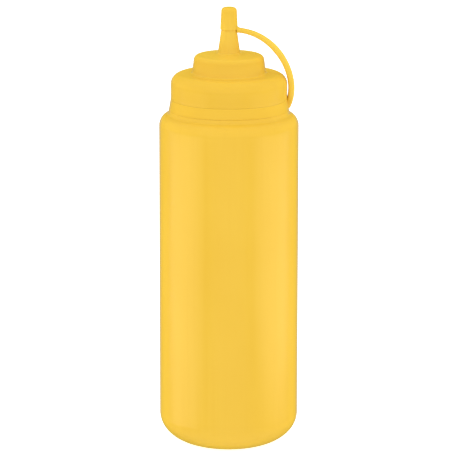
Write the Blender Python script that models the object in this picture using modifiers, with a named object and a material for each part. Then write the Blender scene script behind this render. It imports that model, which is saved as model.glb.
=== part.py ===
"""Squeeze bottle with a screw lid and a tethered tip cap. Metres, +Z up, standing on z = 0."""

import math

import bmesh
import bpy
from mathutils import Vector

MM = 0.001

# Bottle: a straight round body on a softly rounded foot.
BODY_RADIUS = 40.0 * MM
FOOT_CURVE_WIDTH = 23.5 * MM
FOOT_CURVE_HEIGHT = 17.2 * MM
HEEL_SLOPE = math.radians(15.0)
HEEL_RADIUS = 5.0 * MM
STANDING_RING_WIDTH = 2.4 * MM
PUSH_UP_LIP = 1.2 * MM
PUSH_UP_HEIGHT = 3.6 * MM
SHOULDER_START_HEIGHT = 186.5 * MM
SHOULDER_RISE = 6.6 * MM
SHOULDER_DEPTH = 5.8 * MM
COLLAR_FOOT_RADIUS = 34.75 * MM
COLLAR_TOP_RADIUS = 34.25 * MM
COLLAR_TOP_HEIGHT = 195.6 * MM
COLLAR_FOOT_FILLET = 0.9 * MM
NECK_RADIUS = 29.8 * MM
NECK_TOP_HEIGHT = 209.0 * MM

# Lid: a plain skirt, a rounded shoulder, a narrower second tier and the nozzle.
LID_FOOT_HEIGHT = 195.9 * MM
SKIRT_RADIUS = 33.1 * MM
SKIRT_EDGE_ROUND = 0.5 * MM
REBATE_RADIUS = 32.0 * MM
REBATE_TOP_HEIGHT = 202.1 * MM
SOCKET_RADIUS = 30.2 * MM
SOCKET_ROOF_HEIGHT = 209.4 * MM
FIRST_TIER_TOP_HEIGHT = 216.4 * MM
FIRST_TIER_ROUND = 6.0 * MM
SECOND_TIER_FOOT_RADIUS = 20.95 * MM
SECOND_TIER_TOP_RADIUS = 19.75 * MM
SECOND_TIER_SIDE_TOP_HEIGHT = 224.3 * MM
SECOND_TIER_ROUND = 2.7 * MM
SECOND_TIER_TOP_SLOPE = math.radians(4.5)
TIER_FOOT_FILLET = 0.8 * MM

NOZZLE_FOOT_RADIUS = 6.3 * MM
NOZZLE_FOOT_FILLET = 1.4 * MM
NOZZLE_SEAT_RADIUS = 4.3 * MM
NOZZLE_SEAT_HEIGHT = 241.9 * MM
NOZZLE_SPIGOT_RADIUS = 3.7 * MM
NOZZLE_TIP_RADIUS = 2.6 * MM
NOZZLE_TIP_HEIGHT = 252.2 * MM

# Tether: the retaining ring round the skirt's foot, the strap and the tip cap, moulded as one.
RING_FOOT_HEIGHT = 195.9 * MM
RING_TOP_HEIGHT = 201.8 * MM
RING_INNER_RADIUS = 32.35 * MM
RING_TOP_OUTER_RADIUS = 33.15 * MM
RING_FOOT_OUTER_RADIUS = 34.2 * MM
RING_EDGE_ROUND = 0.35 * MM

CAP_FOOT_HEIGHT = 242.2 * MM
CAP_TOP_HEIGHT = 254.75 * MM
CAP_FOOT_RADIUS = 4.95 * MM
CAP_TOP_RADIUS = 4.25 * MM
CAP_ROUND = 2.3 * MM
CAP_BORE_FOOT_RADIUS = 4.05 * MM
CAP_BORE_TOP_RADIUS = 2.95 * MM
CAP_BORE_ROOF_HEIGHT = 252.55 * MM

STRAP_CAP_END = (4.4 * MM, 242.0 * MM)
STRAP_CAP_HANDLE = (22.3 * MM, 241.5 * MM)
STRAP_CREST_UPPER_HANDLE = (36.1 * MM, 224.05 * MM)
STRAP_CREST = (35.85 * MM, 207.5 * MM)
STRAP_CREST_LOWER_HANDLE = (35.8 * MM, 203.9 * MM)
STRAP_RING_HANDLE = (34.9 * MM, 200.2 * MM)
STRAP_RING_END = (33.2 * MM, 197.5 * MM)
STRAP_CAP_SIZE = (4.4 * MM, 2.2 * MM)  # width across, thickness
STRAP_RING_SIZE = (5.2 * MM, 3.5 * MM)
STRAP_FULL_SHARE = 0.65  # share of the upper curve over which the strap grows
STRAP_ROOT_FLARE = 1.5 * MM
STRAP_EDGE_ROUND = 0.42  # share of the thickness
STRAP_UPPER_STEPS = 18
STRAP_LOWER_STEPS = 6

ROUND_STEPS = 60
CAP_STEPS = 28
CLEARANCE = 0.35 * MM
MERGE = 0.00001

YELLOW = (0.90, 0.55, 0.055, 1.0)
PLASTIC_ROUGHNESS = 0.38


def clear_scene():
    for existing in list(bpy.data.objects):
        bpy.data.objects.remove(existing, do_unlink=True)


def new_collection(name):
    collection = bpy.data.collections.new(name)
    bpy.context.scene.collection.children.link(collection)
    return collection


def plastic(name):
    material = bpy.data.materials.new(name)
    material.use_nodes = True
    shader = material.node_tree.nodes["Principled BSDF"]
    shader.inputs["Base Color"].default_value = YELLOW
    shader.inputs["Roughness"].default_value = PLASTIC_ROUGHNESS
    shader.inputs["Metallic"].default_value = 0.0
    return material


def arc(centre, radii, start, end, steps):
    """Points on an ellipse about centre from angle start to end; 0 points outwards, 90 degrees up."""
    points = []
    for step in range(steps + 1):
        angle = start + (end - start) * step / steps
        points.append(
            (centre[0] + radii[0] * math.cos(angle), centre[1] + radii[1] * math.sin(angle))
        )
    return points


def turned(name, profile, steps, collection, closed=False):
    """An object turned about Z from a profile of (radius, height) points, top to bottom outside."""
    mesh = bpy.data.meshes.new(name)
    shape = bmesh.new()
    corners = [shape.verts.new((radius, 0.0, height)) for radius, height in profile]
    for first, second in zip(corners, corners[1:]):
        shape.edges.new((first, second))
    if closed:
        shape.edges.new((corners[-1], corners[0]))
    shape.to_mesh(mesh)
    shape.free()
    made = bpy.data.objects.new(name, mesh)
    collection.objects.link(made)
    screw = made.modifiers.new("Turn", "SCREW")
    screw.steps = steps
    screw.render_steps = steps
    screw.use_merge_vertices = True
    screw.merge_threshold = MERGE
    screw.use_smooth_shade = True
    return made


def foot_profile():
    """The bottle's outer profile from the side's lower end to the middle of its underside."""
    quarter = math.radians(90.0)
    width, height = FOOT_CURVE_WIDTH, FOOT_CURVE_HEIGHT
    # The ellipse is left where it slopes as the heel does, and a small round takes over.
    leave = math.atan(math.tan(HEEL_SLOPE) * width / height)
    leave_radius = BODY_RADIUS - width + width * math.sin(leave)
    heel_centre_radius = leave_radius - HEEL_RADIUS * math.sin(HEEL_SLOPE)
    leave_height = HEEL_RADIUS * (1.0 - math.cos(HEEL_SLOPE))
    curve_centre_height = leave_height + height * math.cos(leave)
    curve_centre = (BODY_RADIUS - width, curve_centre_height)
    points = arc(curve_centre, (width, height), 0.0, leave - quarter, 9)
    heel_centre = (heel_centre_radius, HEEL_RADIUS)
    points += arc(heel_centre, (HEEL_RADIUS, HEEL_RADIUS), HEEL_SLOPE - quarter, -quarter, 2)[1:]
    ring_inner = heel_centre_radius - STANDING_RING_WIDTH
    points.append((ring_inner, 0.0))
    lip_centre = (ring_inner, PUSH_UP_LIP)
    points += arc(lip_centre, (PUSH_UP_LIP, PUSH_UP_LIP), -quarter, -quarter * 1.6, 2)[1:]
    dome_start = points[-1]
    dome_rise = PUSH_UP_HEIGHT - dome_start[1]
    dome_centre = (0.0, dome_start[1])
    points += arc(dome_centre, (dome_start[0], dome_rise), 0.0, quarter, 5)[1:]
    return points


def make_bottle(collection):
    shoulder_centre = (BODY_RADIUS - SHOULDER_DEPTH, SHOULDER_START_HEIGHT)
    shoulder_size = (SHOULDER_DEPTH, SHOULDER_RISE)
    # The shoulder starts just outside the collar's foot.
    inset = COLLAR_FOOT_RADIUS + COLLAR_FOOT_FILLET - shoulder_centre[0]
    shoulder = arc(shoulder_centre, shoulder_size, math.acos(inset / SHOULDER_DEPTH), 0.0, 7)
    profile = [
        (0.0, NECK_TOP_HEIGHT),
        (NECK_RADIUS, NECK_TOP_HEIGHT),
        (NECK_RADIUS, COLLAR_TOP_HEIGHT),
        (COLLAR_TOP_RADIUS, COLLAR_TOP_HEIGHT),
        (COLLAR_FOOT_RADIUS, shoulder[0][1] + COLLAR_FOOT_FILLET),
    ]
    profile += shoulder + foot_profile()
    profile[-1] = (0.0, PUSH_UP_HEIGHT)
    bottle = turned("bottle", profile, ROUND_STEPS, collection)
    bottle.data.materials.append(plastic("bottle_plastic"))


def nozzle_profile(foot_height):
    """The nozzle from its tip down to the slope of the second tier."""
    spread = (NOZZLE_FOOT_RADIUS - NOZZLE_SEAT_RADIUS) / (NOZZLE_SEAT_HEIGHT - foot_height)
    fillet_top = foot_height + NOZZLE_FOOT_FILLET
    return [
        (0.0, NOZZLE_TIP_HEIGHT),
        (NOZZLE_TIP_RADIUS, NOZZLE_TIP_HEIGHT),
        (NOZZLE_SPIGOT_RADIUS, NOZZLE_SEAT_HEIGHT),
        (NOZZLE_SEAT_RADIUS, NOZZLE_SEAT_HEIGHT),
        (NOZZLE_FOOT_RADIUS - spread * NOZZLE_FOOT_FILLET, fillet_top),
        (NOZZLE_FOOT_RADIUS + 0.25 * NOZZLE_FOOT_FILLET, foot_height + 0.2 * MM),
    ]


def make_lid(collection):
    quarter = math.radians(90.0)
    second_round_centre = (
        SECOND_TIER_TOP_RADIUS - SECOND_TIER_ROUND,
        SECOND_TIER_SIDE_TOP_HEIGHT,
    )
    second_round = arc(
        second_round_centre,
        (SECOND_TIER_ROUND, SECOND_TIER_ROUND),
        quarter - SECOND_TIER_TOP_SLOPE,
        0.0,
        4,
    )
    slope_start = second_round[0]
    nozzle_foot_height = slope_start[1] + math.tan(SECOND_TIER_TOP_SLOPE) * (
        slope_start[0] - NOZZLE_FOOT_RADIUS
    )
    first_round = arc(
        (SKIRT_RADIUS - FIRST_TIER_ROUND, FIRST_TIER_TOP_HEIGHT - FIRST_TIER_ROUND),
        (FIRST_TIER_ROUND, FIRST_TIER_ROUND),
        quarter,
        0.0,
        7,
    )
    skirt_edge_centre = (SKIRT_RADIUS - SKIRT_EDGE_ROUND, REBATE_TOP_HEIGHT + SKIRT_EDGE_ROUND)
    skirt_edge = arc(
        skirt_edge_centre, (SKIRT_EDGE_ROUND, SKIRT_EDGE_ROUND), 0.0, -quarter, 2
    )
    profile = nozzle_profile(nozzle_foot_height) + second_round
    profile += [
        (SECOND_TIER_FOOT_RADIUS, FIRST_TIER_TOP_HEIGHT + TIER_FOOT_FILLET),
        (SECOND_TIER_FOOT_RADIUS + TIER_FOOT_FILLET, FIRST_TIER_TOP_HEIGHT),
    ]
    profile += first_round + skirt_edge
    profile += [
        (REBATE_RADIUS, REBATE_TOP_HEIGHT),
        (REBATE_RADIUS, LID_FOOT_HEIGHT),
        (SOCKET_RADIUS, LID_FOOT_HEIGHT),
        (SOCKET_RADIUS, SOCKET_ROOF_HEIGHT),
        (0.0, SOCKET_ROOF_HEIGHT),
    ]
    lid = turned("lid", profile, ROUND_STEPS, collection)
    lid.data.materials.append(plastic("lid_plastic"))


def make_ring(collection):
    quarter = math.radians(90.0)
    edge = (RING_EDGE_ROUND, RING_EDGE_ROUND)
    top_edge_centre = (RING_TOP_OUTER_RADIUS - RING_EDGE_ROUND, RING_TOP_HEIGHT - RING_EDGE_ROUND)
    foot_edge_centre = (
        RING_FOOT_OUTER_RADIUS - RING_EDGE_ROUND,
        RING_FOOT_HEIGHT + RING_EDGE_ROUND,
    )
    profile = [(RING_INNER_RADIUS, RING_TOP_HEIGHT)]
    profile += arc(top_edge_centre, edge, quarter, 0.0, 2)
    profile += arc(foot_edge_centre, edge, 0.0, -quarter, 2)
    profile.append((RING_INNER_RADIUS, RING_FOOT_HEIGHT))
    return turned("ring_blank", profile, ROUND_STEPS, collection, closed=True)


def make_cap(collection):
    quarter = math.radians(90.0)
    round_centre = (CAP_TOP_RADIUS - CAP_ROUND, CAP_TOP_HEIGHT - CAP_ROUND)
    profile = [(0.0, CAP_TOP_HEIGHT)]
    profile += arc(round_centre, (CAP_ROUND, CAP_ROUND), quarter, 0.0, 5)
    profile += [
        (CAP_FOOT_RADIUS, CAP_FOOT_HEIGHT + RING_EDGE_ROUND),
        (CAP_FOOT_RADIUS - RING_EDGE_ROUND, CAP_FOOT_HEIGHT),
        (CAP_BORE_FOOT_RADIUS, CAP_FOOT_HEIGHT),
        (CAP_BORE_TOP_RADIUS, CAP_BORE_ROOF_HEIGHT),
        (0.0, CAP_BORE_ROOF_HEIGHT),
    ]
    cap = turned("tip_cap", profile, CAP_STEPS, collection)
    cap.data.materials.append(plastic("tether_plastic"))
    return cap


def bezier(first, first_handle, second_handle, second, share):
    """(point, direction) on a cubic curve in the XZ plane."""
    back = 1.0 - share
    controls = [Vector(p) for p in (first, first_handle, second_handle, second)]
    weights = (back**3, 3 * back**2 * share, 3 * back * share**2, share**3)
    point = sum((w * c for w, c in zip(weights, controls)), Vector((0.0, 0.0)))
    slopes = (back**2, 2 * back * share, share**2)
    steps = [b - a for a, b in zip(controls, controls[1:])]
    direction = sum((w * s for w, s in zip(slopes, steps)), Vector((0.0, 0.0)))
    return point, direction.normalized()


def strap_stations():
    """(point, direction) along the strap from the cap to the ring."""
    upper = [
        bezier(
            STRAP_CAP_END,
            STRAP_CAP_HANDLE,
            STRAP_CREST_UPPER_HANDLE,
            STRAP_CREST,
            n / STRAP_UPPER_STEPS,
        )
        for n in range(STRAP_UPPER_STEPS + 1)
    ]
    lower = [
        bezier(
            STRAP_CREST,
            STRAP_CREST_LOWER_HANDLE,
            STRAP_RING_HANDLE,
            STRAP_RING_END,
            n / STRAP_LOWER_STEPS,
        )
        for n in range(1, STRAP_LOWER_STEPS + 1)
    ]
    return upper + lower


def strap_section(width, thickness):
    """A rounded rectangle as (across, through) points."""
    radius = STRAP_EDGE_ROUND * thickness
    quarter = math.radians(90.0)
    points = []
    for turn, (side, face) in enumerate(((1, 1), (-1, 1), (-1, -1), (1, -1))):
        centre = (side * (width / 2 - radius), face * (thickness / 2 - radius))
        points += arc(centre, (radius, radius), turn * quarter, (turn + 1) * quarter, 3)
    return points


def strap_loop(shape, number, point, direction):
    """One ring of vertices across the strap, wider and thicker towards the lid's ring."""
    share = min(1.0, number / STRAP_UPPER_STEPS / STRAP_FULL_SHARE)
    width, thickness = (
        cap_end + (ring_end - cap_end) * share
        for cap_end, ring_end in zip(STRAP_CAP_SIZE, STRAP_RING_SIZE)
    )
    # The root swells upwards where it runs into the cap's side.
    flare = STRAP_ROOT_FLARE if number == 0 else 0.0
    outward = Vector((-direction.y, direction.x))
    loop = []
    for across, through in strap_section(width, thickness):
        reach = through + flare * (through > 0.0)
        x = point.x + outward.x * reach
        z = point.y + outward.y * reach
        loop.append(shape.verts.new((x, across, z)))
    return loop


def make_strap(collection):
    """A rounded band lofted along its curve."""
    shape = bmesh.new()
    loops = [
        strap_loop(shape, number, point, direction)
        for number, (point, direction) in enumerate(strap_stations())
    ]
    for near, far in zip(loops, loops[1:]):
        for n in range(len(near)):
            m = (n + 1) % len(near)
            shape.faces.new((near[n], near[m], far[m], far[n]))
    shape.faces.new(loops[0][::-1])
    shape.faces.new(loops[-1])
    bmesh.ops.recalc_face_normals(shape, faces=shape.faces)
    mesh = bpy.data.meshes.new("strap_blank")
    shape.to_mesh(mesh)
    shape.free()
    strap = bpy.data.objects.new("strap_blank", mesh)
    collection.objects.link(strap)
    return strap


def bore_cutter(collection):
    """Clears the strap's root out of the cap's bore and off the nozzle below it."""
    under = CAP_FOOT_HEIGHT - 2.0 * MM
    nozzle_spread = (NOZZLE_FOOT_RADIUS - NOZZLE_SEAT_RADIUS) / (
        NOZZLE_SEAT_HEIGHT - SECOND_TIER_SIDE_TOP_HEIGHT
    )
    beside_nozzle = NOZZLE_SEAT_RADIUS + CLEARANCE
    profile = [
        (0.0, CAP_BORE_ROOF_HEIGHT),
        (CAP_BORE_TOP_RADIUS, CAP_BORE_ROOF_HEIGHT),
        (CAP_BORE_FOOT_RADIUS, CAP_FOOT_HEIGHT),
        (beside_nozzle, CAP_FOOT_HEIGHT),
        (beside_nozzle + nozzle_spread * (CAP_FOOT_HEIGHT - under), under),
        (0.0, under),
    ]
    return turned("bore_cutter", profile, CAP_STEPS, collection)


def ring_bore_cutter(collection):
    """Clears the strap's root out of the ring's bore."""
    over = 1.0 * MM
    profile = [
        (0.0, RING_TOP_HEIGHT + over),
        (RING_INNER_RADIUS, RING_TOP_HEIGHT + over),
        (RING_INNER_RADIUS, RING_FOOT_HEIGHT - over),
        (0.0, RING_FOOT_HEIGHT - over),
    ]
    return turned("ring_bore_cutter", profile, ROUND_STEPS, collection)


def combine(target, other, operation):
    other.hide_render = True
    other.display_type = "WIRE"
    modifier = target.modifiers.new(other.name, "BOOLEAN")
    modifier.operation = operation
    modifier.object = other
    modifier.solver = "EXACT"


def make_tether(collection, helpers):
    cap = make_cap(collection)
    combine(cap, make_strap(helpers), "UNION")
    combine(cap, make_ring(helpers), "UNION")
    combine(cap, bore_cutter(helpers), "DIFFERENCE")
    combine(cap, ring_bore_cutter(helpers), "DIFFERENCE")


def main():
    clear_scene()
    parts = new_collection("squeeze_bottle")
    helpers = new_collection("helpers")
    make_bottle(parts)
    make_lid(parts)
    make_tether(parts, helpers)


main()
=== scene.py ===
"""A tall yellow squeeze bottle with a stepped screw lid and a tethered tip cap.

Heights are above the base and radii are from the axis, in metres. A class lists
those of its attributes that need more words than their names.
"""

from __future__ import annotations

import logging
import math
from dataclasses import dataclass
from enum import Enum
from typing import Any, Callable, Mapping, Sequence, Union

import bmesh
import bpy
import numpy as np
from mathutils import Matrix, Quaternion, Vector


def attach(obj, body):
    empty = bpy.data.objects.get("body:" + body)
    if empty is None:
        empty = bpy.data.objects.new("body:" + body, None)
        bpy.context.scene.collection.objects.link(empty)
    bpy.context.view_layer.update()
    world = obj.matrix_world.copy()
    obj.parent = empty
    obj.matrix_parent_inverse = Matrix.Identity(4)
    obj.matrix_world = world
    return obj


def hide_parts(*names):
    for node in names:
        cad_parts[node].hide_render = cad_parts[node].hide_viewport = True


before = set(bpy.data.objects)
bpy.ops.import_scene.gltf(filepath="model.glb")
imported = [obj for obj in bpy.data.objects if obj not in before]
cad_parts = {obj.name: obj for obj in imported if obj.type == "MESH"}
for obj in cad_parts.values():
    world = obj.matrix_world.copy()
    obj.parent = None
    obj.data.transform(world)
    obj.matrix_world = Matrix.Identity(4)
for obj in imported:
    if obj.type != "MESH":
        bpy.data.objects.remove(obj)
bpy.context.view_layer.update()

LOG = logging.getLogger("squeeze_bottle")
MM = 0.001
QUARTER = math.pi / 2
POLE = 1e-6  # metres; a section point nearer to the axis than this lies on it
SAME_POINT = 1e-6  # metres; two points nearer together than this are one
SIDE_SHARE = 0.48  # the most of a side that the round at one of its ends may take
UNSTRETCHED = (1.0, 1.0, 1.0)
BLACK = (0.0, 0.0, 0.0, 1.0)
WHITE = (1.0, 1.0, 1.0, 1.0)

Colour = tuple[float, float, float]
Point = tuple[float, float]
Relief = Callable[[np.ndarray, np.ndarray, np.ndarray], tuple[np.ndarray, np.ndarray]]
Value = Union["Signal", float]


class Slot(Enum):
    """The record's material slots."""

    BOTTLE = "bottle_plastic"
    LID = "lid_plastic"
    TETHER = "tether_plastic"


class Join(Enum):
    """How one solid is worked into another."""

    ADD = "UNION"
    CUT = "DIFFERENCE"


class Edge(float, Enum):
    """Radii of the small rounds along the edges, in metres."""

    FLUSH = 0.06 * MM
    CRISP = 0.1 * MM
    FINE = 0.12 * MM
    EASED = 0.15 * MM
    PLAIN = 0.2 * MM
    SOFT = 0.3 * MM
    SOFTER = 0.4 * MM
    FULL = 0.5 * MM


class Signal:
    """A shader socket that combines with numbers and other signals through ordinary operators."""

    def __init__(self, graph: "Graph", socket: bpy.types.NodeSocket) -> None:
        """Keeps the socket and the graph that new nodes go into."""
        self.graph = graph
        self.socket = socket

    def _math(self, operation: str, first: Value, second: Value) -> "Signal":
        """Returns the result of one Math node."""
        node = self.graph.node("ShaderNodeMath", {"operation": operation}, {0: first, 1: second})
        return self.graph.signal(node)

    def __add__(self, other: Value) -> "Signal":
        """Returns self + other."""
        return self._math("ADD", self, other)

    def __radd__(self, other: Value) -> "Signal":
        """Returns other + self."""
        return self._math("ADD", other, self)

    def __sub__(self, other: Value) -> "Signal":
        """Returns self - other."""
        return self._math("SUBTRACT", self, other)

    def __rsub__(self, other: Value) -> "Signal":
        """Returns other - self."""
        return self._math("SUBTRACT", other, self)

    def __mul__(self, other: Value) -> "Signal":
        """Returns self * other."""
        return self._math("MULTIPLY", self, other)

    def __rmul__(self, other: Value) -> "Signal":
        """Returns other * self."""
        return self._math("MULTIPLY", other, self)

    def ramped(self, low: float, high: float, start: float = 0.0, end: float = 1.0) -> "Signal":
        """Maps low..high onto start..end with a smooth, clamped step.

        Args:
            low: Value of this signal that gives start.
            high: Value of this signal that gives end.
            start: Result at and below low.
            end: Result at and above high.

        Returns:
            The mapped signal.
        """
        node = self.graph.node(
            "ShaderNodeMapRange",
            {"interpolation_type": "SMOOTHSTEP"},
            {"Value": self, "From Min": low, "From Max": high, "To Min": start, "To Max": end},
        )
        return self.graph.signal(node)


class Graph:
    """Builds the nodes of one material or world."""

    def __init__(self, tree: bpy.types.NodeTree) -> None:
        """Starts from an empty tree."""
        self.tree = tree
        tree.nodes.clear()

    def node(
        self,
        kind: str,
        settings: Mapping[str, Any] | None = None,
        sockets: Mapping[int | str, Any] | None = None,
    ) -> bpy.types.Node:
        """Adds one node.

        Args:
            kind: The node's type name.
            settings: The node's own properties, set before its sockets.
            sockets: Input sockets by name or index, each a constant, a Signal or an output socket.

        Returns:
            The new node.
        """
        made = self.tree.nodes.new(kind)
        for name, value in (settings or {}).items():
            setattr(made, name, value)
        for key, value in (sockets or {}).items():
            if isinstance(value, Signal):
                value = value.socket
            if isinstance(value, bpy.types.NodeSocket):
                self.tree.links.new(value, made.inputs[key])
            else:
                made.inputs[key].default_value = value
        return made

    def signal(self, node: bpy.types.Node, output: int | str = 0) -> Signal:
        """Returns one output of a node as a Signal."""
        return Signal(self, node.outputs[output])

    def principled(self, sockets: Mapping[str, Any]) -> None:
        """Adds a Principled shader with these sockets, and the output that it feeds."""
        shader = self.node("ShaderNodeBsdfPrincipled", {}, sockets)
        self.node("ShaderNodeOutputMaterial", {}, {"Surface": shader.outputs["BSDF"]})

    def axes(self, vector: Signal | bpy.types.NodeSocket) -> list[Signal]:
        """Returns a vector's X, Y and Z."""
        node = self.node("ShaderNodeSeparateXYZ", {}, {"Vector": vector})
        return [self.signal(node, axis) for axis in "XYZ"]

    def blend(self, share: Value, first: Any, second: Any) -> Signal:
        """Mixes two colours.

        Args:
            share: How much of the second colour there is.
            first: Base colour, RGBA or a Signal.
            second: Other colour, RGBA or a Signal.

        Returns:
            The mixed colour.
        """
        node = self.node(
            "ShaderNodeMix",
            {"data_type": "RGBA", "blend_type": "MIX", "clamp_factor": True},
            {0: share, 6: first, 7: second},
        )
        return self.signal(node, 2)

    def placed(self, stretch: Sequence[float]) -> Signal:
        """Returns the object's own coordinates, in metres, times a stretch along each axis."""
        where = self.node("ShaderNodeTexCoord")
        node = self.node(
            "ShaderNodeVectorMath",
            {"operation": "MULTIPLY"},
            {0: where.outputs["Object"], 1: tuple(stretch)},
        )
        return self.signal(node)

    def noise(self, stretch: Sequence[float], detail: float = 2.0) -> Signal:
        """Returns a noise pattern from 0 to 1.

        Args:
            stretch: Cells per metre along X, Y and Z.
            detail: How many finer layers the pattern has.

        Returns:
            The pattern's value.
        """
        node = self.node(
            "ShaderNodeTexNoise",
            {"noise_dimensions": "3D"},
            {"Vector": self.placed(stretch), "Scale": 1.0, "Detail": detail, "Roughness": 0.5},
        )
        return self.signal(node)


def empty_material(name: str) -> tuple[bpy.types.Material, Graph]:
    """Makes a material with no nodes in it, and returns it with its graph."""
    made = bpy.data.materials.new(name)
    made.use_nodes = True
    return made, Graph(made.node_tree)


@dataclass(frozen=True)
class MouldedPlastic:
    """Opaque coloured polyethylene straight from the mould: satin, even, faintly rippled.

    Attributes:
        deeper: Linear colour of the slightly thicker, deeper patches.
        painted_light_colour: Linear colour of painted light, paler than colour, that lifts the shade at
            some heights.
        painted_light_heights: Pairs of heights between which painted light turns the colour paler, then
            back, by turns.
        cloud: Share of the deeper colour at most.
        streak: Share by which die streaks along Z darken the colour.
        roughness: Middle roughness.
        roughness_spread: How far the roughness strays either way.
        peel: Depth of the orange peel, in metres.
        ripple: Depth of the wide, soft waviness, in metres.
        specular: Specular level of the satin body of the plastic.
        skin: Weight of the smooth skin that the mould leaves.
        refraction: Index of refraction of the plastic and its skin.
        ripple_rise: Waves along Z for each wave along X.
        cloud_cells: Clouds per metre along X, Y and Z, as the streaks and grains are given too.
        cloud_range: Noise values at which a cloud starts and is full.
        streak_range: Noise values at which a streak starts and is full.
        patch_cells: Patches of other roughness per metre.
        grain_share: Share of the grain in the roughness.
        roughness_range: Noise values that give the least and the most roughness.
    """

    slot: Slot
    colour: Colour
    deeper: Colour
    painted_light_colour: Colour
    painted_light_heights: Sequence[Point]
    cloud: float
    streak: float
    roughness: float
    roughness_spread: float
    peel: float
    ripple: float
    specular: float = 0.25
    skin: float = 1.0
    skin_roughness: float = 0.16
    refraction: float = 1.5
    peel_size: float = 1.3 * MM
    ripple_size: float = 16.0 * MM
    ripple_rise: float = 0.6
    cloud_cells: Sequence[float] = (28.0, 28.0, 18.0)
    cloud_range: Point = (0.3, 0.75)
    streak_cells: Sequence[float] = (420.0, 420.0, 9.0)
    streak_range: Point = (0.45, 0.8)
    patch_cells: Sequence[float] = (45.0, 45.0, 30.0)
    grain_cells: Sequence[float] = (900.0, 900.0, 900.0)
    grain_share: float = 0.25
    roughness_range: Point = (0.3, 0.7)

    def material(self) -> bpy.types.Material:
        """Builds the node material.

        Returns:
            A material that varies in colour, roughness and relief.
        """
        made, graph = empty_material(self.slot.value)
        graph.principled(
            {
                "Base Color": self._colour(graph),
                "Roughness": self._roughness(graph),
                "Normal": self._relief(graph),
                "IOR": self.refraction,
                "Specular IOR Level": self.specular,
                "Coat Weight": self.skin,
                "Coat Roughness": self.skin_roughness,
                "Coat IOR": self.refraction,
            }
        )
        return made

    def _colour(self, graph: Graph) -> Signal:
        """Returns the base colour, paler at some heights, with soft clouds and faint streaks."""
        _, _, height = graph.axes(graph.placed(UNSTRETCHED))
        # Painted light: the share of the paler colour rises and falls between the listed heights, lifting
        # the shade there.
        share = height.ramped(*self.painted_light_heights[0])
        for turn, heights in enumerate(self.painted_light_heights[1:]):
            step = height.ramped(*heights)
            share = share + step if turn % 2 else share - step
        plain = graph.blend(share, (*self.colour, 1.0), (*self.painted_light_colour, 1.0))
        clouds = graph.noise(self.cloud_cells, detail=3.0)
        clouds = clouds.ramped(*self.cloud_range, 0.0, self.cloud)
        cloudy = graph.blend(clouds, plain, (*self.deeper, 1.0))
        streaks = graph.noise(self.streak_cells, detail=2.0)
        streaks = streaks.ramped(*self.streak_range, 0.0, self.streak)
        return graph.blend(streaks, cloudy, (*self.deeper, 1.0))

    def _roughness(self, graph: Graph) -> Signal:
        """Returns the roughness, with slightly polished patches where the piece is handled."""
        low, high = self.roughness - self.roughness_spread, self.roughness + self.roughness_spread
        patches = graph.noise(self.patch_cells, detail=4.0)
        grain = graph.noise(self.grain_cells, detail=1.0)
        mixed = patches * (1.0 - self.grain_share) + grain * self.grain_share
        return mixed.ramped(*self.roughness_range, low, high)

    def _relief(self, graph: Graph) -> Signal:
        """Returns the normal after orange peel and a wide waviness."""
        cells, waves = 1.0 / self.peel_size, 1.0 / self.ripple_size
        peel = graph.noise((cells, cells, cells), detail=1.0)
        ripple = graph.noise((waves, waves, waves * self.ripple_rise), detail=0.0)
        height = peel * self.peel + ripple * self.ripple
        node = graph.node(
            "ShaderNodeBump", {}, {"Strength": 1.0, "Distance": 1.0, "Height": height}
        )
        return graph.signal(node)


BLOWN = MouldedPlastic(
    slot=Slot.BOTTLE,
    colour=(0.905, 0.566, 0.0495),
    deeper=(0.86, 0.51, 0.0345),
    painted_light_colour=(0.905, 0.566, 0.0495),
    painted_light_heights=((205.0 * MM, 210.0 * MM),),
    cloud=0.35,
    streak=0.25,
    roughness=0.40,
    roughness_spread=0.05,
    peel=1.6e-6,
    ripple=2.4e-5,
)
INJECTED = MouldedPlastic(
    slot=Slot.LID,
    colour=(0.871, 0.538, 0.0425),
    deeper=(0.83, 0.483, 0.031),
    # Painted light: paler at the upper tier's foot and from the nozzle's foot up, lifting the shade in
    # those inner corners.
    painted_light_colour=(0.912, 0.594, 0.058),
    painted_light_heights=(
        (215.3 * MM, 217.8 * MM),
        (219.2 * MM, 224.8 * MM),
        (225.8 * MM, 228.0 * MM),
    ),
    cloud=0.3,
    streak=0.0,
    roughness=0.42,
    roughness_spread=0.04,
    peel=1.2e-6,
    ripple=0.6e-5,
    skin=0.8,
)
SUPPLE = MouldedPlastic(
    slot=Slot.TETHER,
    colour=(0.895, 0.553, 0.0415),
    deeper=(0.83, 0.484, 0.0335),
    # Painted light: paler along the strap, fading out over the cap, lifting the shade that the lid casts on
    # the strap.
    painted_light_colour=(0.975, 0.672, 0.072),
    painted_light_heights=((201.0 * MM, 205.0 * MM), (226.0 * MM, 260.0 * MM)),
    cloud=0.3,
    streak=0.0,
    roughness=0.38,
    roughness_spread=0.04,
    peel=1.0e-6,
    ripple=0.5e-5,
)


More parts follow.
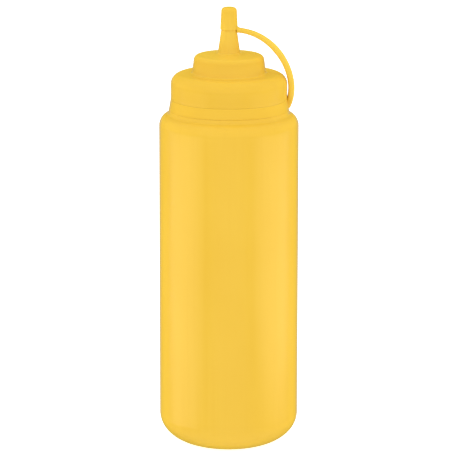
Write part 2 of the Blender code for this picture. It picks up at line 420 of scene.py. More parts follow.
class Outline:
    """The half section of a turned piece, drawn as corners from the top down its outer side."""

    def __init__(self) -> None:
        """Starts with no corners."""
        self._corners: list[tuple[float, float, float]] = []

    def corner(self, radius: float, height: float, softened: float = 0.0) -> "Outline":
        """Adds a corner.

        Args:
            radius: Distance from the axis.
            height: Height above the base.
            softened: Radius of the round that replaces the corner, or 0 for a sharp one.

        Returns:
            This outline, so that calls chain.
        """
        self._corners.append((radius, height, softened))
        return self

    def ellipse(
        self, centre: Point, radii: Point, start: float, end: float, steps: int
    ) -> "Outline":
        """Adds a stretch of an ellipse.

        Args:
            centre: Its centre, as radius and height.
            radii: Its half width and half height.
            start: First angle, 0 outwards and a quarter turn up.
            end: Last angle.
            steps: Number of chords.

        Returns:
            This outline, so that calls chain.
        """
        for angle in np.linspace(start, end, steps + 1):
            self.corner(
                centre[0] + radii[0] * math.cos(angle), centre[1] + radii[1] * math.sin(angle)
            )
        return self

    def points(self, spacing: float, round_steps: int = 7) -> np.ndarray:
        """Samples the outline.

        Args:
            spacing: Longest chord on a straight stretch.
            round_steps: Chords in each softened corner.

        Returns:
            An array of (radius, height) rows.
        """
        last = len(self._corners) - 1
        drawn: list[np.ndarray] = []
        for number, (radius, height, softened) in enumerate(self._corners):
            here = np.array((radius, height))
            if softened > 0.0 and 0 < number < last:
                before = np.array(self._corners[number - 1][:2])
                after = np.array(self._corners[number + 1][:2])
                drawn += self._rounded(before, here, after, softened, round_steps)
            else:
                drawn.append(here)
        return self._subdivided(drawn, spacing)

    @staticmethod
    def _rounded(
        before: np.ndarray, here: np.ndarray, after: np.ndarray, softened: float, steps: int
    ) -> list[np.ndarray]:
        """Returns the points of a round that touches both sides of a corner.

        Args:
            before: The corner before.
            here: The corner to round.
            after: The corner after.
            softened: Wished radius, made smaller where the sides are short.
            steps: Number of chords.

        Returns:
            The round's points from the first side to the second.
        """
        back, ahead = before - here, after - here
        back_length, ahead_length = np.linalg.norm(back), np.linalg.norm(ahead)
        back, ahead = back / back_length, ahead / ahead_length
        half = math.acos(float(np.clip(back @ ahead, -1.0, 1.0))) / 2
        reach = min(softened / math.tan(half), SIDE_SHARE * back_length, SIDE_SHARE * ahead_length)
        radius = reach * math.tan(half)
        middle = (back + ahead) / np.linalg.norm(back + ahead)
        centre = here + middle * radius / math.sin(half)
        first, second = here + back * reach - centre, here + ahead * reach - centre
        turn = math.pi - 2 * half
        return [
            centre
            + (first * math.sin((1 - t) * turn) + second * math.sin(t * turn)) / math.sin(turn)
            for t in np.linspace(0.0, 1.0, steps + 1)
        ]

    @staticmethod
    def _subdivided(drawn: Sequence[np.ndarray], spacing: float) -> np.ndarray:
        """Returns the points with long chords split evenly and repeated points left out."""
        fine = [drawn[0]]
        for start, end in zip(drawn, drawn[1:]):
            length = np.linalg.norm(end - start)
            if length > SAME_POINT:
                cuts = math.ceil(length / spacing)
                fine += [start + (end - start) * n / cuts for n in range(1, cuts + 1)]
        return np.array(fine)


def as_object(name: str, vertices: Sequence[Any], faces: Sequence[Any]) -> bpy.types.Object:
    """Makes a smooth-shaded object.

    Args:
        name: The object's name.
        vertices: Its points, in metres.
        faces: Its faces, as vertex numbers.

    Returns:
        The object, linked to the scene.
    """
    mesh = bpy.data.meshes.new(name)
    mesh.from_pydata(vertices, [], faces)
    mesh.shade_smooth()
    made = bpy.data.objects.new(name, mesh)
    bpy.context.scene.collection.objects.link(made)
    return made


def turned(
    name: str,
    section: np.ndarray,
    angles: np.ndarray,
    relief: Relief | None = None,
    closed: bool = False,
) -> bpy.types.Object:
    """Turns a section about Z.

    Args:
        name: The object's name.
        section: (radius, height) rows from the top down the outer side.
        angles: The angles of the turn, ascending within one full turn.
        relief: Gives radial and vertical offsets from radius, height and angle, or nothing.
        closed: Whether the section's end joins its start, as a ring's does.

    Returns:
        The turned object, closed where the section starts and ends on the axis.
    """
    count = len(angles)
    vertices: list[tuple[float, float, float]] = []
    rows: list[list[int]] = []
    for radius, height in section:
        start = len(vertices)
        turn = angles if radius > POLE else angles[:1]
        radii, heights = np.full(len(turn), radius), np.full(len(turn), height)
        if relief is not None:
            outwards, upwards = relief(radii, heights, turn)
            radii, heights = radii + outwards * (radius > POLE), heights + upwards
        vertices += zip(radii * np.cos(turn), radii * np.sin(turn), heights)
        rows.append(list(range(start, start + len(turn))))
    pairs = list(zip(rows, rows[1:])) + ([(rows[-1], rows[0])] if closed else [])
    faces: list[tuple[int, ...]] = []
    for upper, lower in pairs:
        for n in range(count):
            m = (n + 1) % count
            if len(upper) == 1:
                faces.append((upper[0], lower[n], lower[m]))
            elif len(lower) == 1:
                faces.append((upper[n], lower[0], upper[m]))
            else:
                faces.append((upper[n], lower[n], lower[m], upper[m]))
    return as_object(name, vertices, faces)


def even_turn(segments: int) -> np.ndarray:
    """Returns the angles of a full turn in equal steps."""
    return np.arange(segments) * (2 * math.pi / segments)


def worked(target: bpy.types.Object, tool: bpy.types.Object, how: Join) -> None:
    """Adds a solid to another, or cuts it out, and removes the tool.

    Args:
        target: The object that is changed.
        tool: The solid that is added or cut out.
        how: Whether to add or to cut.
    """
    modifier = target.modifiers.new(how.value, "BOOLEAN")
    modifier.operation = how.value
    modifier.solver = "EXACT"
    modifier.object = tool
    graph = bpy.context.evaluated_depsgraph_get()
    mesh = bpy.data.meshes.new_from_object(target.evaluated_get(graph))
    shape = bmesh.new()
    shape.from_mesh(mesh)
    bmesh.ops.dissolve_degenerate(shape, dist=SAME_POINT, edges=shape.edges)
    shape.to_mesh(mesh)
    shape.free()
    target.modifiers.clear()
    old = target.data
    target.data = mesh
    bpy.data.meshes.remove(old)
    bpy.data.objects.remove(tool, do_unlink=True)


def installed(piece: bpy.types.Object, node: str, finish: MouldedPlastic) -> bpy.types.Object:
    """Dresses a piece and puts it in place of a CAD node.

    Args:
        piece: The finished mesh.
        node: The CAD node that it stands for.
        finish: Its finish.

    Returns:
        The piece.
    """
    piece.data.materials.clear()
    piece.data.materials.append(finish.material())
    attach(piece, "root")
    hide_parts(node)
    return piece


@dataclass
class Bottle:
    """The blow-moulded body: a straight round wall, a soft foot, a shoulder and a hidden neck.

    Attributes:
        seam_inside: Radius inside which the underside has no parting line.
        seam_clear: Half widths round the parting line that the turn's even angles keep out of.
        foot_curve: Half axes of the foot's ellipse.
        heel_slope: Slope at which the foot's ellipse passes into the heel's round.
        lip_sweep: Share of a quarter turn that the lip's round goes on past its lowest point.
        dome_angles: First and last angle of the dome's ellipse.
        pinch_fade: Length over which the ends of the pinch-off line run out.
        collar_flare: How far out and down the collar's foot flares to the shoulder.
        curve_steps: Chords in the shoulder and in the dome.
        chord: Longest straight chord of the section.
    """

    wall_radius: float = 39.93 * MM
    seam_height: float = 0.07 * MM
    seam_half_width: float = 0.45 * MM
    seam_inside: float = 19.0 * MM
    seam_clear: float = 1.5
    foot_curve: Point = (23.43 * MM, 17.2 * MM)
    heel_slope: float = math.radians(15.0)
    heel_radius: float = 5.0 * MM
    standing_width: float = 2.4 * MM
    push_up_lip: float = 1.2 * MM
    lip_sweep: float = 0.6
    push_up_height: float = 3.6 * MM
    dome_angles: Point = (0.02, 0.995 * QUARTER)
    pinch_half_length: float = 15.0 * MM
    pinch_half_width: float = 0.9 * MM
    pinch_depth: float = 0.55 * MM
    pinch_fade: float = 1.5 * MM
    shoulder_base: float = 186.5 * MM
    shoulder_curve: Point = (5.73 * MM, 6.75 * MM)
    collar_foot_radius: float = 34.9 * MM
    collar_flare: Point = (1.0 * MM, 0.55 * MM)
    collar_fillet: float = 1.5 * MM
    collar_top_radius: float = 34.3 * MM
    collar_top: float = 195.72 * MM
    neck_radius: float = 29.8 * MM
    neck_top: float = 209.0 * MM
    curve_steps: int = 22
    foot_steps: int = 32
    heel_steps: int = 5
    lip_steps: int = 6
    chord: float = 4.0 * MM
    segments: int = 240

    def outline(self) -> Outline:
        """Draws the half section from the neck's top to the middle of the underside.

        Returns:
            The outline.
        """
        shoulder_centre = (self.wall_radius - self.shoulder_curve[0], self.shoulder_base)
        start_radius = self.collar_foot_radius + self.collar_flare[0]
        start = math.acos((start_radius - shoulder_centre[0]) / self.shoulder_curve[0])
        drawn = Outline()
        drawn.corner(0.0, self.neck_top)
        drawn.corner(self.neck_radius, self.neck_top, Edge.FULL)
        drawn.corner(self.neck_radius, self.collar_top, Edge.SOFT)
        drawn.corner(self.collar_top_radius, self.collar_top, Edge.FINE)
        drawn.corner(
            self.collar_foot_radius,
            shoulder_centre[1] + self.shoulder_curve[1] * math.sin(start) + self.collar_flare[1],
            self.collar_fillet,
        )
        drawn.ellipse(shoulder_centre, self.shoulder_curve, start, 0.0, self.curve_steps)
        return self._foot(drawn)

    def _foot(self, drawn: Outline) -> Outline:
        """Adds the foot's curve, the heel, the standing ring and the push-up."""
        width, height = self.foot_curve
        leave = math.atan(math.tan(self.heel_slope) * width / height)
        leave_radius = self.wall_radius - width + width * math.sin(leave)
        heel_centre = leave_radius - self.heel_radius * math.sin(self.heel_slope)
        leave_height = self.heel_radius * (1.0 - math.cos(self.heel_slope))
        centre = (self.wall_radius - width, leave_height + height * math.cos(leave))
        drawn.ellipse(centre, self.foot_curve, 0.0, leave - QUARTER, self.foot_steps)
        heel = (self.heel_radius, self.heel_radius)
        first = self.heel_slope - QUARTER
        drawn.ellipse((heel_centre, self.heel_radius), heel, first, -QUARTER, self.heel_steps)
        inner = heel_centre - self.standing_width
        lip = (self.push_up_lip, self.push_up_lip)
        last = -(1.0 + self.lip_sweep) * QUARTER
        drawn.ellipse((inner, self.push_up_lip), lip, -QUARTER, last, self.lip_steps)
        rest = (1.0 - self.lip_sweep) * QUARTER
        dome_radius = inner - self.push_up_lip * math.cos(rest)
        dome_base = self.push_up_lip * (1.0 - math.sin(rest))
        dome = (dome_radius, self.push_up_height - dome_base)
        drawn.ellipse((0.0, dome_base), dome, *self.dome_angles, self.curve_steps)
        return drawn.corner(0.0, self.push_up_height)

    def relief(
        self, radii: np.ndarray, heights: np.ndarray, angles: np.ndarray
    ) -> tuple[np.ndarray, np.ndarray]:
        """Raises the mould's parting line on both sides and the pinch-off line underneath.

        Args:
            radii: Distances from the axis.
            heights: Heights above the base.
            angles: Angles about the axis.

        Returns:
            The radial and the vertical offsets.
        """
        across = np.abs(radii * np.sin(angles))
        seam = self.seam_height * np.clip(1.0 - across / self.seam_half_width, 0.0, 1.0)
        outside = (heights > self.push_up_lip) & (heights < self.collar_top)
        outside &= radii > self.seam_inside
        ends = np.clip((self.pinch_half_length - radii) / self.pinch_fade, 0.0, 1.0)
        ridge = np.clip(1.0 - (across / self.pinch_half_width) ** 2, 0.0, 1.0)
        under = (heights < self.push_up_height + SAME_POINT) & (radii < self.pinch_half_length)
        return seam * outside, -self.pinch_depth * ridge * ends * under

    def angles(self) -> np.ndarray:
        """Returns the turn's angles, closer together at the two parting lines."""
        near = np.array((-1.0, -0.5, 0.0, 0.5, 1.0)) * self.seam_half_width / self.wall_radius
        coarse = even_turn(self.segments)
        gap = self.seam_clear * self.seam_half_width / self.wall_radius
        clear = coarse[np.abs(np.sin(coarse)) > gap]
        both = np.concatenate((clear, near, near + math.pi))
        return np.sort(np.mod(both, 2 * math.pi))

    def build(self) -> bpy.types.Object:
        """Builds and dresses the bottle.

        Returns:
            The piece.
        """
        section = self.outline().points(self.chord)
        piece = turned("bottle_body", section, self.angles(), self.relief)
        return installed(piece, "bottle", BLOWN)


@dataclass
class ScrewLid:
    """The lid: a plain skirt rebated for the tether's ring, two tiers and a cone nozzle.

    Attributes:
        rebate_radius: Radius of the skirt inside the tether's ring.
        top_slope: How steeply the upper tier's top rises to the nozzle.
        seat_radius: Radius of the nozzle where the cap rests on it.
        spigot_radius: Radius of the foot of the spigot in the cap.
        chord: Longest straight chord of the section.
    """

    foot: float = 195.82 * MM
    skirt_radius: float = 33.3 * MM
    rebate_radius: float = 32.05 * MM
    rebate_top: float = 202.05 * MM
    socket_radius: float = 30.2 * MM
    socket_roof: float = 209.4 * MM
    first_top: float = 216.5 * MM
    first_round: float = 5.8 * MM
    second_foot_radius: float = 21.15 * MM
    second_top_radius: float = 19.9 * MM
    second_top: float = 227.1 * MM
    second_round: float = 2.8 * MM
    top_slope: float = math.radians(4.0)
    tier_fillet: float = 1.5 * MM
    nozzle_foot_radius: float = 6.5 * MM
    nozzle_fillet: float = 1.3 * MM
    seat_radius: float = 4.5 * MM
    seat_height: float = 241.9 * MM
    spigot_radius: float = 3.7 * MM
    tip_radius: float = 2.6 * MM
    tip_height: float = 252.2 * MM
    chord: float = 1.6 * MM
    round_steps: int = 12
    segments: int = 240

    def outline(self) -> Outline:
        """Draws the half section from the nozzle's tip to the middle of the socket's roof.

        Returns:
            The outline.
        """
        nozzle_foot = self.second_top + math.tan(self.top_slope) * (
            self.second_top_radius - self.nozzle_foot_radius
        )
        drawn = Outline()
        drawn.corner(0.0, self.tip_height)
        drawn.corner(self.tip_radius, self.tip_height, Edge.SOFT)
        drawn.corner(self.spigot_radius, self.seat_height, Edge.CRISP)
        drawn.corner(self.seat_radius, self.seat_height, Edge.PLAIN)
        drawn.corner(self.nozzle_foot_radius, nozzle_foot, self.nozzle_fillet)
        drawn.corner(self.second_top_radius, self.second_top, self.second_round)
        drawn.corner(self.second_foot_radius, self.first_top, self.tier_fillet)
        drawn.corner(self.skirt_radius, self.first_top, self.first_round)
        drawn.corner(self.skirt_radius, self.rebate_top, Edge.FLUSH)
        drawn.corner(self.rebate_radius, self.rebate_top, Edge.CRISP)
        drawn.corner(self.rebate_radius, self.foot, Edge.PLAIN)
        drawn.corner(self.socket_radius, self.foot, Edge.PLAIN)
        drawn.corner(self.socket_radius, self.socket_roof, Edge.FULL)
        return drawn.corner(0.0, self.socket_roof)

    def build(self) -> bpy.types.Object:
        """Builds and dresses the lid.

        Returns:
            The piece.
        """
        section = self.outline().points(self.chord, self.round_steps)
        piece = turned("screw_lid", section, even_turn(self.segments))
        return installed(piece, "lid", INJECTED)


@dataclass
class Tether:
    """The tip cap, its strap and the ring round the lid's foot, moulded as one piece.

    Attributes:
        bore_ends: How far below the top and above the foot the section of the bore has its ends.
        beside_nozzle: Radii that keep the strap's root off the nozzle, at the cap's foot and below.
        cutter_drop: How far the cutter reaches below the cap's foot.
        cutter_past: How far the ring's cutter reaches past the ring at both ends.
        upper: Control points of the strap's upper curve, as X and Z.
        lower: Control points of the strap's lower curve.
        cap_end: Width and thickness of the strap at the cap.
        ring_end: Width and thickness of the strap at the ring.
        full_share: Share of the upper curve over which the strap grows from cap_end to ring_end.
        root_swell: How much wider the strap's roots are, and how much thicker the one at the cap.
        root_length: Length in which the swell falls to a third at the cap. It is twice as long at the ring.
        squareness: Power of the strap's section, 2 for an ellipse and more for a squarer one.
        ring_cutter_chord: Longest chord in the ring's cutter, so long that none is split.
        sharp_angle: Angle from which an edge is shaded sharp.
    """

    ring_foot: float = 195.75 * MM
    ring_top: float = 202.0 * MM
    ring_bore: float = 32.25 * MM
    ring_top_radius: float = 33.32 * MM
    ring_foot_radius: float = 34.4 * MM
    bore_ends: Point = (3.0 * MM, 2.0 * MM)
    cap_foot: float = 241.96 * MM
    cap_top: float = 254.75 * MM
    cap_foot_radius: float = 5.05 * MM
    cap_top_radius: float = 4.4 * MM
    cap_round: float = 2.3 * MM
    bore_foot_radius: float = 4.05 * MM
    bore_top_radius: float = 2.95 * MM
    bore_roof: float = 252.55 * MM
    beside_nozzle: Point = (4.85 * MM, 5.3 * MM)
    cutter_drop: float = 3.0 * MM
    cutter_past: float = 4.0 * MM
    upper: Sequence[Point] = (
        (4.4 * MM, 241.45 * MM),
        (22.0 * MM, 240.9 * MM),
        (35.87 * MM, 223.75 * MM),
        (35.65 * MM, 207.5 * MM),
    )
    lower: Sequence[Point] = (
        (35.65 * MM, 207.5 * MM),
        (35.6 * MM, 203.9 * MM),
        (34.8 * MM, 200.2 * MM),
        (33.2 * MM, 197.5 * MM),
    )
    cap_end: Point = (4.4 * MM, 2.65 * MM)
    ring_end: Point = (5.2 * MM, 3.7 * MM)
    full_share: float = 0.5
    root_swell: Point = (1.2 * MM, 1.3 * MM)
    root_length: float = 0.9 * MM
    squareness: float = 3.2
    section_points: int = 32
    upper_stations: int = 72
    lower_stations: int = 24
    ring_chord: float = 1.2 * MM
    cap_chord: float = 0.9 * MM
    cap_round_steps: int = 12
    cap_cutter_chord: float = 10.0 * MM
    ring_cutter_chord: float = 100.0 * MM
    ring_segments: int = 240
    cap_segments: int = 96
    sharp_angle: float = math.radians(38.0)

    def ring(self) -> bpy.types.Object:
        """Returns the flared ring."""
        drawn = Outline()
        drawn.corner(self.ring_bore, self.ring_top - self.bore_ends[0])
        drawn.corner(self.ring_bore, self.ring_top, Edge.FINE)
        drawn.corner(self.ring_top_radius, self.ring_top, Edge.FLUSH)
        drawn.corner(self.ring_foot_radius, self.ring_foot, Edge.FINE)
        drawn.corner(self.ring_bore, self.ring_foot, Edge.EASED)
        drawn.corner(self.ring_bore, self.ring_foot + self.bore_ends[1])
        section = drawn.points(self.ring_chord)
        return turned("tether_ring", section, even_turn(self.ring_segments), closed=True)

    def cap(self) -> bpy.types.Object:
        """Returns the hollow tip cap."""
        drawn = Outline()
        drawn.corner(0.0, self.cap_top)
        drawn.corner(self.cap_top_radius, self.cap_top, self.cap_round)
        drawn.corner(self.cap_foot_radius, self.cap_foot, Edge.PLAIN)
        drawn.corner(self.bore_foot_radius, self.cap_foot, Edge.EASED)
        drawn.corner(self.bore_top_radius, self.bore_roof, Edge.SOFTER)
        drawn.corner(0.0, self.bore_roof)
        section = drawn.points(self.cap_chord, self.cap_round_steps)
        return turned("tip_cap_tether", section, even_turn(self.cap_segments))

    @staticmethod
    def _bend(controls: Sequence[Point], shares: np.ndarray) -> tuple[np.ndarray, np.ndarray]:
        """Samples a cubic curve.

        Args:
            controls: Its four control points, as X and Z.
            shares: Where along it to sample, from 0 to 1.

        Returns:
            The points and the unit directions.
        """
        first, second, third, fourth = (np.array(point) for point in controls)
        t = shares[:, None]
        back = 1.0 - t
        points = (
            back**3 * first + 3 * back**2 * t * second + 3 * back * t**2 * third + t**3 * fourth
        )
        along = (
            back**2 * (second - first) + 2 * back * t * (third - second) + t**2 * (fourth - third)
        )
        return points, along / np.linalg.norm(along, axis=1)[:, None]

    def strap(self) -> bpy.types.Object:
        """Lofts the strap through rounded sections that thicken towards the ring.

        Returns:
            The strap as a closed solid.
        """
        upper, upper_along = self._bend(self.upper, np.linspace(0.0, 1.0, self.upper_stations + 1))
        lower, lower_along = self._bend(self.lower, np.linspace(0.0, 1.0, self.lower_stations + 1))
        middle = np.concatenate((upper, lower[1:]))
        along = np.concatenate((upper_along, lower_along[1:]))
        outward = np.stack((-along[:, 1], along[:, 0]), axis=1)
        steps = np.linalg.norm(np.diff(middle, axis=0), axis=1)
        reach = np.concatenate(([0.0], np.cumsum(steps)))
        share = np.clip(reach / reach[self.upper_stations] / self.full_share, 0.0, 1.0)
        turn = even_turn(self.section_points)
        power = 2.0 / self.squareness
        across = np.sign(np.cos(turn)) * np.abs(np.cos(turn)) ** power / 2
        through = np.sign(np.sin(turn)) * np.abs(np.sin(turn)) ** power / 2
        vertices: list[tuple[float, float, float]] = []
        for number, point in enumerate(middle):
            root = math.exp(-reach[number] / self.root_length)
            foot = math.exp(-(reach[-1] - reach[number]) / (2 * self.root_length))
            width, depth = (
                near + (far - near) * share[number]
                for near, far in zip(self.cap_end, self.ring_end)
            )
            width += self.root_swell[0] * (root + foot)
            swell = self.root_swell[1] * root * (through > 0.0) * 2 * through
            out = through * depth + swell
            x = point[0] + outward[number, 0] * out
            z = point[1] + outward[number, 1] * out
            vertices += zip(x, across * width, z)
        return self._loft("tether_strap", vertices, len(middle))

    def _loft(
        self, name: str, vertices: Sequence[tuple[float, float, float]], stations: int
    ) -> bpy.types.Object:
        """Joins equal rings of vertices into a closed tube.

        Args:
            name: The object's name.
            vertices: The rings' points, one ring after another.
            stations: The number of rings.

        Returns:
            The object, with its faces pointing out.
        """
        count = self.section_points
        faces: list[tuple[int, ...]] = []
        for station in range(stations - 1):
            here, there = station * count, (station + 1) * count
            for n in range(count):
                m = (n + 1) % count
                faces.append((here + n, here + m, there + m, there + n))
        faces.append(tuple(range(count))[::-1])
        faces.append(tuple(range((stations - 1) * count, stations * count)))
        made = as_object(name, vertices, faces)
        shape = bmesh.new()
        shape.from_mesh(made.data)
        bmesh.ops.recalc_face_normals(shape, faces=shape.faces)
        shape.to_mesh(made.data)
        shape.free()
        return made

    def _cap_clearance(self) -> bpy.types.Object:
        """Returns the cutter that keeps the strap's root out of the cap's bore."""
        under = self.cap_foot - self.cutter_drop
        drawn = Outline()
        drawn.corner(0.0, self.bore_roof)
        drawn.corner(self.bore_top_radius, self.bore_roof)
        drawn.corner(self.bore_foot_radius, self.cap_foot)
        drawn.corner(self.beside_nozzle[0], self.cap_foot)
        drawn.corner(self.beside_nozzle[1], under)
        drawn.corner(0.0, under)
        section = drawn.points(self.cap_cutter_chord)
        return turned("cap_clearance", section, even_turn(self.cap_segments))

    def _ring_clearance(self) -> bpy.types.Object:
        """Returns the cutter that keeps the strap's root out of the ring's bore."""
        over, under = self.ring_top + self.cutter_past, self.ring_foot - self.cutter_past
        drawn = Outline().corner(0.0, over).corner(self.ring_bore, over)
        drawn.corner(self.ring_bore, under).corner(0.0, under)
        section = drawn.points(self.ring_cutter_chord)
        return turned("ring_clearance", section, even_turn(self.ring_segments))

    def build(self) -> bpy.types.Object:
        """Builds and dresses the tether.

        Returns:
            The piece.
        """
        piece = self.cap()
        strap = self.strap()
        worked(strap, self._cap_clearance(), Join.CUT)
        worked(strap, self._ring_clearance(), Join.CUT)
        worked(piece, strap, Join.ADD)
        worked(piece, self.ring(), Join.ADD)
        piece.data.shade_smooth()
        piece.data.set_sharp_from_angle(angle=self.sharp_angle)
        return installed(piece, "tip_cap", SUPPLE)


@dataclass
class Studio:
    """The camera, the white table, the soft surroundings, the rim lights and the side panels.

    Attributes:
        distance: From the camera to the point it looks at.
        tilt: How far the camera looks down.
        target: Height of the bottle's middle.
        roll: How far the camera leans, anticlockwise as it looks.
        aside: How far the frame's middle lies to the right of the axis.
        above: How far the frame's middle lies above the bottle's middle.
        clip: Nearest and farthest distance that the camera sees.
        table_glow: How brightly the table is lit from below.
        low: Brightness of the surroundings straight below.
        level: Brightness at the horizon and above.
        back: Share of those that is left straight behind.
        sheen_rear: Brightness of the grey wall straight behind, as the plastic mirrors it.
        sheen_over: Brightness of the warm surroundings overhead, as the plastic mirrors them.
        sheen_under: Brightness of the warm surroundings below.
        sheen_front: Brightness of the warm surroundings in front and beside.
        sheen_flank: Brightness of the warm surroundings behind, to the sides.
        warm: Colour of those surroundings.
        low_fade: Upward directions over which low passes into level.
        back_fade: Rearward directions over which the surroundings dim behind.
        over_fade: Upward directions over which overhead begins.
        under_fade: Upward directions over which below ends.
        flank_fade: Rearward directions over which the flanks begin.
        rear_fade: Rearward directions over which the grey wall begins.
        panel: Radiance in the middle of the two side panels.
        panel_aside: Distance to the side of a panel.
        panel_fade_front: Y where a panel's front starts to glow, and where it is full.
        panel_fade_back: Y where a panel's glow starts to fade at its back, and where it ends.
        panel_fade_foot: Z where a panel's foot starts to glow, and where it is full.
        panel_fade_top: Z where a panel's glow starts to fade at its top, and where it ends.
        panel_drop: How much lower the left panel's foot hangs.
        rim: How brightly a rim light, which fills a side from behind, lights a white surface.
        rim_turn: Azimuth of the rim lights, to either side of the camera.
        rim_distance: Distance of the rim lights from the axis.
    """

    lens_mm: float = 264.55
    sensor_mm: float = 36.0
    distance: float = 1950.0 * MM
    tilt: float = math.radians(13.0)
    target: float = 124.12 * MM
    roll: float = math.radians(0.08)
    aside: float = 0.70 * MM
    above: float = 0.59 * MM
    clip: Point = (0.05, 50.0)
    table_radius: float = 6.0
    table_segments: int = 96
    table_glow: float = 0.8
    low: float = 1.24
    level: float = 1.14
    back: float = 0.8
    sheen_rear: float = 0.30
    sheen_over: float = 0.73
    sheen_under: float = 0.38
    sheen_front: float = 0.38
    sheen_flank: float = 0.54
    warm: Colour = (0.986, 0.712, 0.054)
    low_fade: Point = (-1.0, -0.3)
    back_fade: Point = (0.5, 0.9)
    over_fade: Point = (-0.08, 0.08)
    under_fade: Point = (-0.60, -0.36)
    flank_fade: Point = (0.2, 0.5)
    rear_fade: Point = (0.86, 0.93)
    panel: float = 0.98
    panel_colour: Colour = (1.0, 0.93, 0.72)
    panel_aside: float = 0.42
    panel_fade_front: Point = (-0.65, -0.20)
    panel_fade_back: Point = (-0.03, 0.22)
    panel_fade_foot: Point = (-0.13, -0.045)
    panel_fade_top: Point = (0.085, 0.155)
    panel_drop: float = 0.045
    rim: float = 0.30
    rim_height: float = 0.058
    rim_turn: float = math.radians(105.0)
    rim_distance: float = 0.33
    rim_size: Point = (0.09, 0.19)

    def camera(self) -> None:
        """Places the camera in front of the bottle, looking slightly down."""
        back = Vector((0.0, -math.cos(self.tilt), math.sin(self.tilt)))
        upwards = Vector((0.0, math.sin(self.tilt), math.cos(self.tilt)))
        target = Vector((self.aside, 0.0, self.target)) + upwards * self.above
        data = bpy.data.cameras.new("studio_camera")
        data.lens = self.lens_mm
        data.sensor_width = self.sensor_mm
        data.sensor_fit = "HORIZONTAL"
        data.clip_start, data.clip_end = self.clip
        made = self._placed(data, target + back * self.distance, back)
        made.rotation_quaternion @= Quaternion((0.0, 0.0, 1.0), self.roll)
        bpy.context.scene.camera = made

    @staticmethod
    def _placed(data: Any, place: Vector, back: Vector) -> bpy.types.Object:
        """Puts a camera or a light in the scene.

        Args:
            data: The camera or light.
            place: Where it stands.
            back: The direction that it turns its back to.

        Returns:
            The new object.
        """
        made = bpy.data.objects.new(data.name, data)
        made.location = place
        made.rotation_mode = "QUATERNION"
        made.rotation_quaternion = back.to_track_quat("Z", "Y")
        bpy.context.scene.collection.objects.link(made)
        return made

    def table(self) -> None:
        """Lays a white light table under the bottle, seen by the camera alone."""
        section = Outline().corner(0.0, 0.0).corner(self.table_radius, 0.0).points(1.0)
        made = turned("table", section, even_turn(self.table_segments))
        material, graph = empty_material("white_table")
        grain = graph.noise((60.0, 60.0, 60.0), detail=3.0)
        graph.principled(
            {
                "Base Color": (0.9, 0.9, 0.9, 1.0),
                "Roughness": grain.ramped(0.2, 0.8, 0.7, 0.8),
                "Specular IOR Level": 0.1,
                "Emission Color": WHITE,
                "Emission Strength": self.table_glow,
            }
        )
        made.data.materials.append(material)
        made.visible_glossy = made.visible_diffuse = made.visible_shadow = False

    def surroundings(self) -> None:
        """Wraps the set in soft light, which the plastic mirrors as a dark band between cards."""
        world = bpy.data.worlds.new("studio")
        world.use_nodes = True
        graph = Graph(world.node_tree)
        where = graph.node("ShaderNodeTexCoord")
        _, behind, up = graph.axes(where.outputs["Generated"])
        path = graph.node("ShaderNodeLightPath")
        glossy, camera = graph.signal(path, "Is Glossy Ray"), graph.signal(path, "Is Camera Ray")
        soft = up.ramped(*self.low_fade, self.low, self.level)
        soft = soft * behind.ramped(*self.back_fade, 1.0, self.back)
        over, under = up.ramped(*self.over_fade), up.ramped(*self.under_fade, 1.0, 0.0)
        flank, rear = behind.ramped(*self.flank_fade), behind.ramped(*self.rear_fade)
        level = (1.0 - flank) * self.sheen_front + (flank - rear) * self.sheen_flank
        level = level + rear * self.sheen_rear
        mirrored = (1.0 - over - under) * level + over * self.sheen_over + under * self.sheen_under
        lit = soft * (1.0 - glossy) + mirrored * glossy
        strength = lit * (1.0 - camera) + camera
        grey = rear * (1.0 - over - under)
        colour = graph.blend((1.0 - grey) * glossy, WHITE, (*self.warm, 1.0))
        light = graph.node("ShaderNodeBackground", {}, {"Color": colour, "Strength": strength})
        graph.node("ShaderNodeOutputWorld", {}, {"Surface": light.outputs["Background"]})
        bpy.context.scene.world = world

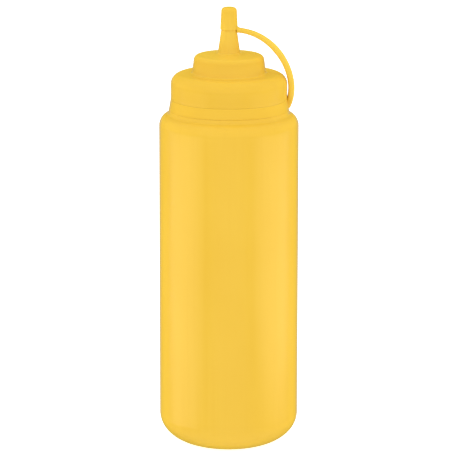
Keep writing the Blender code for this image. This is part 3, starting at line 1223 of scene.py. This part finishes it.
    def _rim(self, side: float) -> None:
        """Adds a light that fills one side from behind, and that the plastic doesn't mirror.

        Args:
            side: -1 for the left and 1 for the right.
        """
        data = bpy.data.lights.new("rim", "AREA")
        data.shape = "RECTANGLE"
        data.size, data.size_y = self.rim_size
        data.energy = self.rim * (math.pi * self.rim_distance) ** 2
        out = Vector((side * math.sin(self.rim_turn), -math.cos(self.rim_turn), 0.0))
        place = out * self.rim_distance + Vector((0.0, 0.0, self.rim_height))
        made = self._placed(data, place, out)
        made.visible_glossy = made.visible_camera = False

    def _panel(self, side: float) -> None:
        """Stands a soft-edged light panel on one side.

        Args:
            side: -1 for the left and 1 for the right.
        """
        x = side * self.panel_aside
        front, back = self.panel_fade_front[0], self.panel_fade_back[1]
        drop = self.panel_drop * (side < 0.0)
        fade_foot = tuple(height - drop for height in self.panel_fade_foot)
        foot, top = fade_foot[0], self.panel_fade_top[1]
        corners = [(x, front, foot), (x, back, foot), (x, back, top), (x, front, top)]
        made = as_object("side_panel", corners, [(0, 1, 2, 3)])
        material, graph = empty_material("side_panel")
        _, along, up = graph.axes(graph.placed(UNSTRETCHED))
        glow = along.ramped(*self.panel_fade_front) * along.ramped(*self.panel_fade_back, 1.0, 0.0)
        glow = glow * up.ramped(*fade_foot) * up.ramped(*self.panel_fade_top, 1.0, 0.0)
        graph.principled(
            {
                "Base Color": BLACK,
                "Specular IOR Level": 0.0,
                "Emission Color": graph.blend(glow, BLACK, (*self.panel_colour, 1.0)),
                "Emission Strength": self.panel,
            }
        )
        made.data.materials.append(material)
        made.visible_camera = made.visible_shadow = False

    def lights(self) -> None:
        """Sets a rim light and a panel on each side."""
        for side in (-1.0, 1.0):
            self._rim(side)
            self._panel(side)

    def build(self) -> None:
        """Sets the whole studio up."""
        scene = bpy.context.scene
        scene.view_settings.view_transform = "Standard"
        scene.view_settings.look = "None"
        self.camera()
        self.table()
        self.surroundings()
        self.lights()


def main() -> None:
    """Builds the bottle, its lid, its tether and the studio."""
    logging.basicConfig(level=logging.INFO, format="%(name)s: %(message)s")
    for part in (Bottle(), ScrewLid(), Tether()):
        piece = part.build()
        LOG.info("%s: %d faces", piece.name, len(piece.data.polygons))
    Studio().build()


if __name__ == "__main__":
    main()
